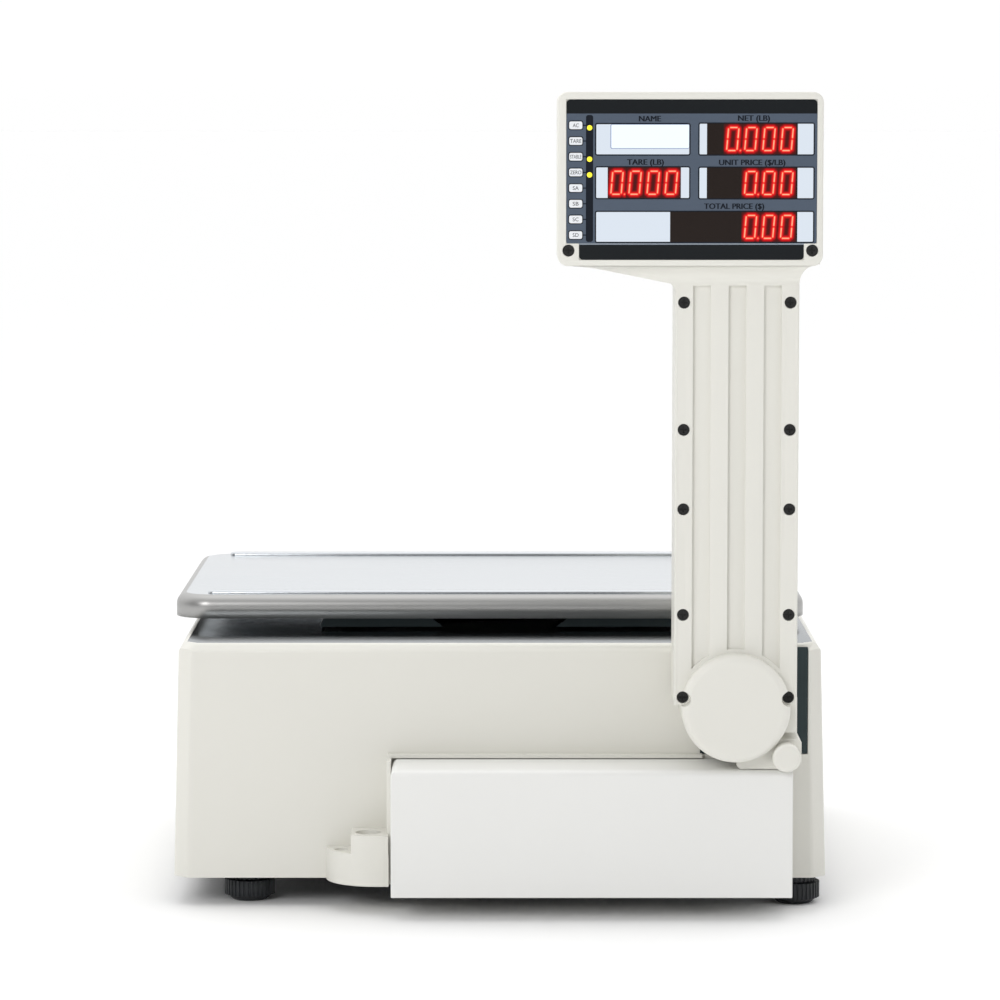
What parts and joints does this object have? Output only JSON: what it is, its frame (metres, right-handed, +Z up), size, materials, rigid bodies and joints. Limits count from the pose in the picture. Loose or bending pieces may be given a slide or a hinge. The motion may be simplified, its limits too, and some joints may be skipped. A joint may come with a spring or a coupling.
{
  "type": "label printing scale",
  "caption": "Counter scale with a stainless pan, sloping keypad, label printer drawer and a folding post with customer display.",
  "frame": {"origin": "on the standing surface, under the middle of the whole object", "axes": "+Z up, -Y towards the customer side that the display faces, +Y towards the operator, +X to the right as seen from the customer side"},
  "size_m": [0.39, 0.4411, 0.4816],
  "materials": {
    "cream": "fine-textured cream ABS, glossy on top",
    "cream_matte": "fine-textured cream ABS",
    "white_cover": "fine-textured off-white ABS",
    "pan_steel": "brushed stainless steel",
    "steel": "zinc-plated sheet steel",
    "dark_metal": "dark blue-grey powder coat",
    "chassis": "grey powder coat",
    "aluminium": "machined",
    "black_plastic": "black, fine-textured",
    "rubber": "black rubber",
    "screw": "black oxide",
    "display": "printed film over clear windows",
    "digits": "smoked windows over red numerals",
    "lcd": "backlit",
    "board": "solder mask",
    "keypad": "printed membrane",
    "red_switch": "red rocker",
    "vial": "clear cup with green fluid",
    "paper": "label paper"
  },
  "bodies": {
    "housing": {"body_cover": "cream", "lower_chassis": "chassis", "cover_screws": "steel", "hinge_mounting_plate": "dark_metal", "hinge_bracket": "cream_matte", "hinge_pivot_tube": "steel", "hinge_retaining_ring": "steel", "rear_frame": "cream_matte", "rear_frame_screws": "steel", "rear_box_cover": "white_cover", "pan_support_frame": "dark_metal", "pan_rubber_pads": "rubber", "load_cell": "aluminium", "load_cell_mount": "steel", "load_cell_screws": "screw", "keypad_overlay": "keypad", "keypad_board": "board", "spirit_level": "vial", "main_board": "board", "power_supply": "steel", "power_inlet": "black_plastic", "io_sockets": "black_plastic", "drawer_rails": "steel"},
    "post": {"post_front_shell": "cream_matte", "post_rear_shell": "cream_matte", "post_screws": "screw", "hinge_cap": "cream_matte", "customer_overlay": "display", "customer_display_board": "board", "customer_digit_modules": "digits", "name_lcd_module": "lcd", "operator_overlay": "display", "operator_display_board": "board", "operator_lcd_module": "lcd"},
    "pan": {"weighing_pan": "pan_steel"},
    "release_button": {"hinge_release_button": "cream_matte"},
    "power_switch": {"power_rocker": "red_switch"},
    "printer_drawer": {"printer_drawer_front": "cream", "printer_tray": "steel", "printer_side_plates": "steel", "printer_motor": "black_plastic", "drive_belt": "rubber"},
    "latch_button": {"drawer_latch_button": "black_plastic"},
    "platen": {"platen_roller": "rubber"},
    "motor_shaft": {"motor_pulley": "steel"},
    "thermal_head": {"print_head": "black_plastic"},
    "label_roll": {"label_roll": "paper", "roll_spindle": "black_plastic"},
    "takeup": {"takeup_spool": "aluminium"},
    "foot_customer_left": {"foot_customer_left": "black_plastic"},
    "lock_ring_customer_left": {"lock_ring_customer_left": "black_plastic"},
    "foot_customer_right": {"foot_customer_right": "black_plastic"},
    "lock_ring_customer_right": {"lock_ring_customer_right": "black_plastic"},
    "foot_operator_left": {"foot_operator_left": "black_plastic"},
    "lock_ring_operator_left": {"lock_ring_operator_left": "black_plastic"},
    "foot_operator_right": {"foot_operator_right": "black_plastic"},
    "lock_ring_operator_right": {"lock_ring_operator_right": "black_plastic"}
  },
  "joints": [
    {"name": "post_fold", "type": "hinge", "parent": "housing", "child": "post", "pos_m": [0.1368, -0.207, 0.12615], "axis": [0, -1, 0], "range_deg": [0, 90]},
    {"name": "pan_lift", "type": "slide", "parent": "housing", "child": "pan", "axis": [0, 0, 1], "range_m": [0, 0.05]},
    {"name": "release_press", "type": "slide", "parent": "housing", "child": "release_button", "axis": [0, 1, 0], "range_m": [0, 0.004], "stiffness_N_per_m": 900, "springref_m": -0.001},
    {"name": "power_rock", "type": "hinge", "parent": "housing", "child": "power_switch", "pos_m": [0.1875, -0.037, 0.049], "axis": [0, 0, 1], "range_deg": [0, 10]},
    {"name": "drawer_slide", "type": "slide", "parent": "housing", "child": "printer_drawer", "axis": [0, 1, 0], "range_m": [0, 0.12]},
    {"name": "latch_press", "type": "slide", "parent": "printer_drawer", "child": "latch_button", "axis": [0, -1, 0], "range_m": [0, 0.0025], "stiffness_N_per_m": 600, "springref_m": -0.001},
    {"name": "platen_turn", "type": "hinge", "parent": "printer_drawer", "child": "platen", "pos_m": [-0.1274, 0.169, 0.091], "axis": [1, 0, 0], "continuous": true},
    {"name": "motor_turn", "type": "hinge", "parent": "printer_drawer", "child": "motor_shaft", "pos_m": [-0.0789, 0.159, 0.048], "axis": [1, 0, 0], "continuous": true},
    {"name": "head_lift", "type": "hinge", "parent": "printer_drawer", "child": "thermal_head", "pos_m": [-0.1274, 0.141, 0.12], "axis": [1, 0, 0], "range_deg": [0, 7]},
    {"name": "roll_turn", "type": "hinge", "parent": "printer_drawer", "child": "label_roll", "pos_m": [-0.1274, 0.103, 0.072], "axis": [1, 0, 0], "continuous": true},
    {"name": "takeup_turn", "type": "hinge", "parent": "printer_drawer", "child": "takeup", "pos_m": [-0.1274, 0.192, 0.05], "axis": [1, 0, 0], "continuous": true},
    {"name": "foot_turn_customer_left", "type": "hinge", "parent": "housing", "child": "foot_customer_left", "pos_m": [-0.15, -0.133, 0], "axis": [0, 0, 1], "continuous": true},
    {"name": "ring_turn_customer_left", "type": "hinge", "parent": "housing", "child": "lock_ring_customer_left", "pos_m": [-0.15, -0.133, 0], "axis": [0, 0, 1], "continuous": true},
    {"name": "foot_turn_customer_right", "type": "hinge", "parent": "housing", "child": "foot_customer_right", "pos_m": [0.176, -0.143, 0], "axis": [0, 0, 1], "continuous": true},
    {"name": "ring_turn_customer_right", "type": "hinge", "parent": "housing", "child": "lock_ring_customer_right", "pos_m": [0.176, -0.143, 0], "axis": [0, 0, 1], "continuous": true},
    {"name": "foot_turn_operator_left", "type": "hinge", "parent": "housing", "child": "foot_operator_left", "pos_m": [-0.15, 0.191, 0], "axis": [0, 0, 1], "continuous": true},
    {"name": "ring_turn_operator_left", "type": "hinge", "parent": "housing", "child": "lock_ring_operator_left", "pos_m": [-0.15, 0.191, 0], "axis": [0, 0, 1], "continuous": true},
    {"name": "foot_turn_operator_right", "type": "hinge", "parent": "housing", "child": "foot_operator_right", "pos_m": [0.176, 0.191, 0], "axis": [0, 0, 1], "continuous": true},
    {"name": "ring_turn_operator_right", "type": "hinge", "parent": "housing", "child": "lock_ring_operator_right", "pos_m": [0.176, 0.191, 0], "axis": [0, 0, 1], "continuous": true}
  ],
  "couplings": [
    {"joint": "motor_turn", "follows": "platen_turn", "ratio": 1.5}
  ]
}
